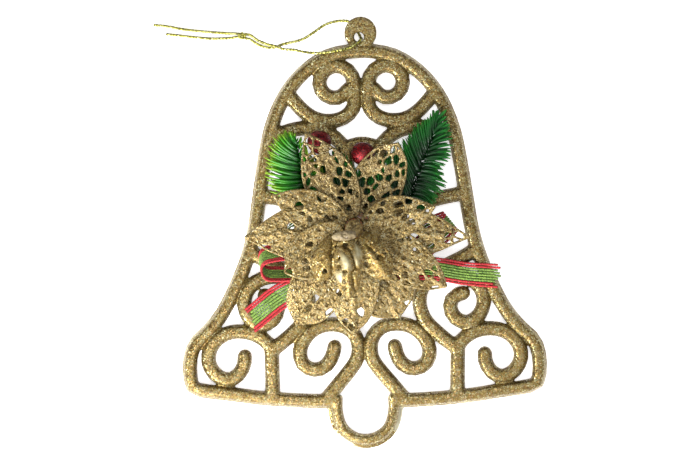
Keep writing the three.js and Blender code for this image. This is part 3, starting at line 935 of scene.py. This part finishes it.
RIGHT_ROOTS = [(14.6, 10), (16, 13), (18.6, 20), (21.8, 28), (24, 34)]
RIGHT_TIPS = [
    (19, 7.6), (23.2, 7), (24.9, 10.8), (28.2, 17.2), (26.2, 20), (28.9, 24), (29.7, 28.8), (29.5, 34),
    (27.9, 40),
]
RIGHT_INNER = [
    (12.4, 20), (12.6, 26), (13.8, 30.8), (16, 33.7), (17.8, 35.8), (21, 37.6), (22.8, 40), (26, 40.6),
]
RIGHT_HIDDEN = [(1.8, 12.4), (2, 17.6), (5, 22), (7.6, 26), (10.6, 28.8), (13.6, 31.4)]
BEHIND = [
    (-17.2, 26.4), (-14.6, 25.4), (-12.2, 25.8), (-10.4, 27.2), (-9.4, 28.6), (-6.4, 26.6), (-3, 23),
    (0.4, 21.6), (3.6, 22.4),
]
make_sprig("right", RIGHT_LEAF, "dark_green_plastic", [
    (34, RIGHT_ROOTS, RIGHT_TIPS, 1.25, 0.09, (7.5, 8.9)),
    (64, RIGHT_ROOTS, RIGHT_TIPS, 1.35, 0.05, (6.9, 7.7)),
    (34, RIGHT_ROOTS, RIGHT_INNER, 1.25, 0.03, (7.5, 8.9)),
    (60, RIGHT_ROOTS, RIGHT_INNER, 1.3, -0.03, (6.9, 7.7)),
    (110, [(-8, 9), (-5, 10), (-1, 10), (2, 9)], BEHIND, 1.2, 0.02, (5.6, 6.6)),
    (36, [(5.2, -3.6), (5.4, 0), (5.2, 3.4)], [(14.6, -5.6), (14.9, -1), (14.6, 4)], 1.2, 0.04, (5.5, 6.4)),
    (50, [(12.6, 10.4), (14, 12), (15.4, 14)], RIGHT_HIDDEN, 0.9, -0.06, (7, 8.7)),
    (50, [(3.6, 10), (7, 10), (11, 10.4)], RIGHT_HIDDEN, 1.0, 0.03, (7, 8.7)),
])


# --- Berries ----------------------------------------------------------------------------------

BERRY_FILL = 0.99
DIMPLE_DEPTH, DIMPLE_WIDTH = 0.1, 0.25


def make_berry(side):
    """A ball that is a little lumpy, with a dimple on the side towards the eyelet, and its wire."""
    low, high = (np.array(corner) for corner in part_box(f"berry_{side}"))
    centre, radius = (low + high) / 2, (high - low)[0] / 2
    rings, sides = 40, 56
    polar = np.linspace(0, np.pi, rings + 2)[1:-1]
    around = np.arange(sides) * 2 * np.pi / sides
    grid = np.stack(np.broadcast_arrays(
        np.sin(polar)[:, None] * np.cos(around), np.sin(polar)[:, None] * np.sin(around),
        np.cos(polar)[:, None] * np.ones(sides),
    ), axis=-1).reshape(-1, 3)
    from_pole = np.arccos(np.clip(grid[:, 1], -1, 1))
    dimple = 1 - DIMPLE_DEPTH * np.exp(-((from_pole / DIMPLE_WIDTH) ** 2))
    lumps = 1 + 0.012 * np.sin(5 * grid[:, 0] + 3) * np.sin(6 * grid[:, 2] + 1)
    grain = 1 + rng.uniform(-0.008, 0.008, len(grid))
    ball = grid * (dimple * lumps * grain)[:, None]
    verts = np.concatenate([ball, [[0, 0, 1]], [[0, 0, -1]]]) * radius * BERRY_FILL + centre
    faces = []
    for i in range(rings - 1):
        for j in range(sides):
            after = (j + 1) % sides
            faces.append([i * sides + j, (i + 1) * sides + j, (i + 1) * sides + after, i * sides + after])
    for j in range(sides):
        after = (j + 1) % sides
        faces.append([rings * sides, j, after])
        faces.append([rings * sides + 1, (rings - 1) * sides + after, (rings - 1) * sides + j])
    piece = new_piece(f"berry_ball_{side}", verts, faces, BERRY)
    shade(piece, True)
    settle(piece, "bell", "red_berry", f"berry_{side}")
    resurfaced(f"berry_stalk_{side}", f"berry_{side}_wire", 0.14 * MM, 3, WIRE, "green_wire")


for berry_side in ("left", "right"):
    make_berry(berry_side)


# --- Ribbon bow -------------------------------------------------------------------------------

# In mm.
RIBBON_WIDTH = 8.2
RED, GREEN = 0, 1
CORD_COLOURS = [RED, RED, GREEN, GREEN, GREEN, GREEN, GREEN, RED, RED]
CORD_STEP = 0.2
CORD_SIDES = 12
LOOSE_END = 1.0
LOW, TOP, OVER = 5.4, 10.7, 6.6
FOLD_X, FOLD_Y, FOLD_HEADING = 29.3, 3, math.radians(39.4)
FOLD_LINE = [
    (14, 0, 9.6), (8, 0, 9.9), (3, 0.1, 9.6), (0.8, 0.4, 8.9), (0, 0.7, 7.7), (0.8, 1.1, 6.4),
    (3, 1.8, 5.8), (7, 2.8, 5.6), (11, 3.4, 5.6),
]


def folded_edge(side):
    """One edge of the loop on the right, which lies side mm to the left of its middle. Each row of
    FOLD_LINE is (back from the fold, aside, height)."""
    cos, sin = math.cos(FOLD_HEADING), math.sin(FOLD_HEADING)
    return [
        (FOLD_X - back * cos - (aside + side) * sin, FOLD_Y - back * sin + (aside + side) * cos, z)
        for back, aside, z in FOLD_LINE
    ]


# The two edges of each strip of ribbon, and how far past its end each cord of a cut end runs.
RIBBONS = {
    "ribbon_tail_right": (
        [(10.2, -15.6, LOW), (23, -16.2, LOW), (33, -17.8, LOW), (44.3, -19, LOW)],
        [(10.2, -8.2, LOW), (23, -8.2, LOW), (34, -10, LOW), (45.4, -10.8, LOW)],
        [0, -1.6, -1.2, -0.3, 0.5, 0.2, -0.6, 0.3, -0.8],
    ),
    "ribbon_tail_left": (
        [(-19.6, -21, LOW), (-26.6, -25.2, LOW), (-36, -32.6, LOW)],
        [(-21.6, -13, LOW), (-30.6, -17.4, LOW), (-39.5, -24.5, LOW)],
        [0.2, 0, -0.9, -0.5, -1.0, -0.7, -1.1, 0, 0.2],
    ),
    "ribbon_loop_left": (
        [(-21, -2.6, LOW + 0.2), (-29.6, -3.2, LOW + 0.2), (-33.6, -4.8, LOW + 0.2), (-34.5, -7.8, LOW + 0.2),
         (-32.2, -10.4, LOW + 0.2), (-27, -10.8, LOW + 0.2), (-21, -10.6, LOW + 0.2)],
        [(-21, -8.4, TOP), (-28.6, -9.2, TOP), (-32.8, -10.4, TOP), (-33.6, -13.2, TOP),
         (-31.8, -15.5, TOP), (-27.5, -15.8, TOP), (-21, -15.6, TOP)],
        None,
    ),
    "ribbon_loop_right": (folded_edge(RIBBON_WIDTH / 2), folded_edge(-RIBBON_WIDTH / 2), None),
    "ribbon_centre": (
        [(-17.5, -13, OVER), (-3, -10.4, OVER), (10.5, -12.4, OVER)],
        [(-17.5, -5.6, OVER), (-3, -6.6, OVER), (10.5, -6, OVER)],
        None,
    ),
}


def resampled(points, count):
    dense = catmull(points, 0.1)
    return dense[np.linspace(0, len(dense) - 1, count).round().astype(int)]


def cord_radii(line, thickness):
    """Radii of one spun cord: round, with shallow grooves that wind round it."""
    places = np.arange(len(line)) * CORD_STEP
    angles = np.arange(CORD_SIDES) * 2 * np.pi / CORD_SIDES
    turn = 3 * angles[None, :] - (2 * np.pi * places / 0.9)[:, None]
    return thickness / 2 * (0.9 + 0.1 * np.cos(turn))


def make_ribbon(node, edge_a, edge_b, ends):
    """Nine cords side by side between two edges."""
    stations = 140
    a, b = resampled(np.array(edge_a, float), stations), resampled(np.array(edge_b, float), stations)
    count = len(CORD_COLOURS)
    thickness = 0.98 * np.linalg.norm(b - a, axis=1).mean() / count
    cords = []
    for k in range(count):
        line = a + (b - a) * ((k + 0.5) / count)
        if ends:
            run = line[-1] - line[-8]
            line = np.concatenate([line, [line[-1] + run / np.linalg.norm(run) * LOOSE_END]])
        line = catmull(line, CORD_STEP)
        if ends:
            line = line[: int(round(len(line) + (ends[k] - LOOSE_END) / CORD_STEP))]
        line[:, 2] += 0.05 * np.sin(np.arange(len(line)) * 0.21 + 2.1 * k)
        cords.append(tube(line * MM, cord_radii(line, thickness) * MM))
    verts, faces, cord = joined(cords)
    piece = new_piece(node + "_cords", verts, faces, RED_CORD, GREEN_CORD)
    piece.data.polygons.foreach_set("material_index", np.array(CORD_COLOURS)[cord].astype(np.int32))
    shade(piece, True)
    settle(piece, "bell", "striped_ribbon", node)
    "folded" if "loop" in node else "laid"


for ribbon_node, (edge_a, edge_b, ends) in RIBBONS.items():
    make_ribbon(ribbon_node, edge_a, edge_b, ends)


# --- Boss, glue and tie -----------------------------------------------------------------------

BOSS_CREASES = 7
CREASED_HEIGHT = 1.4 * MM
SPREAD = 0.12
CROWN_RISE = 2.6
CROWN_TOP = 1.1 * MM


def make_boss():
    """The gathered film in the middle, with creases that run out from its centre and a crown that
    holds up the fold."""
    piece = refined("boss", "flower_calyx", 0.2 * MM, 2)
    co = coordinates(piece)
    low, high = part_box("flower_calyx")
    middle = np.array([(low[0] + high[0]) / 2, (low[1] + high[1]) / 2])
    spread = 1 + SPREAD * np.clip((co[:, 2] / MM - 10.5) / 1.5, 0, 1)
    co[:, :2] = middle + (co[:, :2] - middle) * spread[:, None]
    x, y = (co[:, :2] - middle).T
    upper = np.clip((co[:, 2] - high[2] + CREASED_HEIGHT) / CREASED_HEIGHT, 0, 1)
    crease = np.sin(BOSS_CREASES * np.arctan2(y, x) + 0.5) * np.clip(np.hypot(x, y) / MM, 0, 1)
    crown = np.exp(-(x**2 + (y + 1.9 * MM) ** 2) / (1.5 * MM) ** 2) * np.clip(co[:, 2] / MM - 19.8, 0, 1)
    co[:, 2] += (CROWN_RISE * crown - (1 - crown) * upper * (0.5 + 0.5 * crease)) * MM
    co[:, 2] = np.minimum(co[:, 2], high[2] + CROWN_TOP)
    set_coordinates(piece, co)
    piece.data.materials.append(LACE)
    shade(piece, True)
    settle(piece, "bell", "gold_lace", "flower_calyx")


make_boss()
resurfaced("glue_blob", "glue_pad", 0.3 * MM, 8, GLUE, "hot_glue")
resurfaced("tie_wire", "ribbon_tie_wire", 0.1 * MM, 2, WIRE, "green_wire")


# --- Floor and light --------------------------------------------------------------------------

FLOOR_SIZE = 3.0
# Each lamp is (place, size, power). The sky is bright towards -Y and dim towards +Y.
LAMPS = {
    "key": ((-0.18, -0.24, 0.22), 0.25, 4.6),
    "top": ((0.1, 0.2, 0.9), 0.6, 3.5),
}
SKY = {"From Min": -0.7, "From Max": 0.7, "To Min": 0.95, "To Max": 0.1}


def make_floor():
    corners = [(x * FLOOR_SIZE, y * FLOOR_SIZE, 0) for x, y in [(-1, -1), (1, -1), (1, 1), (-1, 1)]]
    paper = Shader(
        "paper", Base_Color=(0.92, 0.92, 0.92, 1), Roughness=0.9,
        Emission_Color=(1, 1, 1, 1), Emission_Strength=0.6,
    )
    new_piece("floor", corners, [(0, 1, 2, 3)], paper.material)


def make_light():
    world = bpy.data.worlds.new("world")
    bpy.context.scene.world = world
    world.use_nodes = True
    background = next(n for n in world.node_tree.nodes if n.type == "BACKGROUND")
    background.inputs["Color"].default_value = (1, 1, 1, 1)
    add = world.node_tree.nodes.new
    aim, split, span = add("ShaderNodeTexCoord"), add("ShaderNodeSeparateXYZ"), add("ShaderNodeMapRange")
    link = world.node_tree.links.new
    link(aim.outputs["Generated"], split.inputs[0])
    link(split.outputs["Y"], span.inputs["Value"])
    for socket, value in SKY.items():
        span.inputs[socket].default_value = value
    link(span.outputs[0], background.inputs["Strength"])
    for name, (place, width, power) in LAMPS.items():
        data = bpy.data.lights.new(name, "AREA")
        data.size = width
        data.energy = power
        lamp = bpy.data.objects.new(name, data)
        lamp.location = place
        lamp.rotation_euler = (-Vector(place)).to_track_quat("-Z", "Y").to_euler()
        bpy.context.collection.objects.link(lamp)
    bpy.context.scene.view_settings.view_transform = "Standard"


make_floor()
make_light()
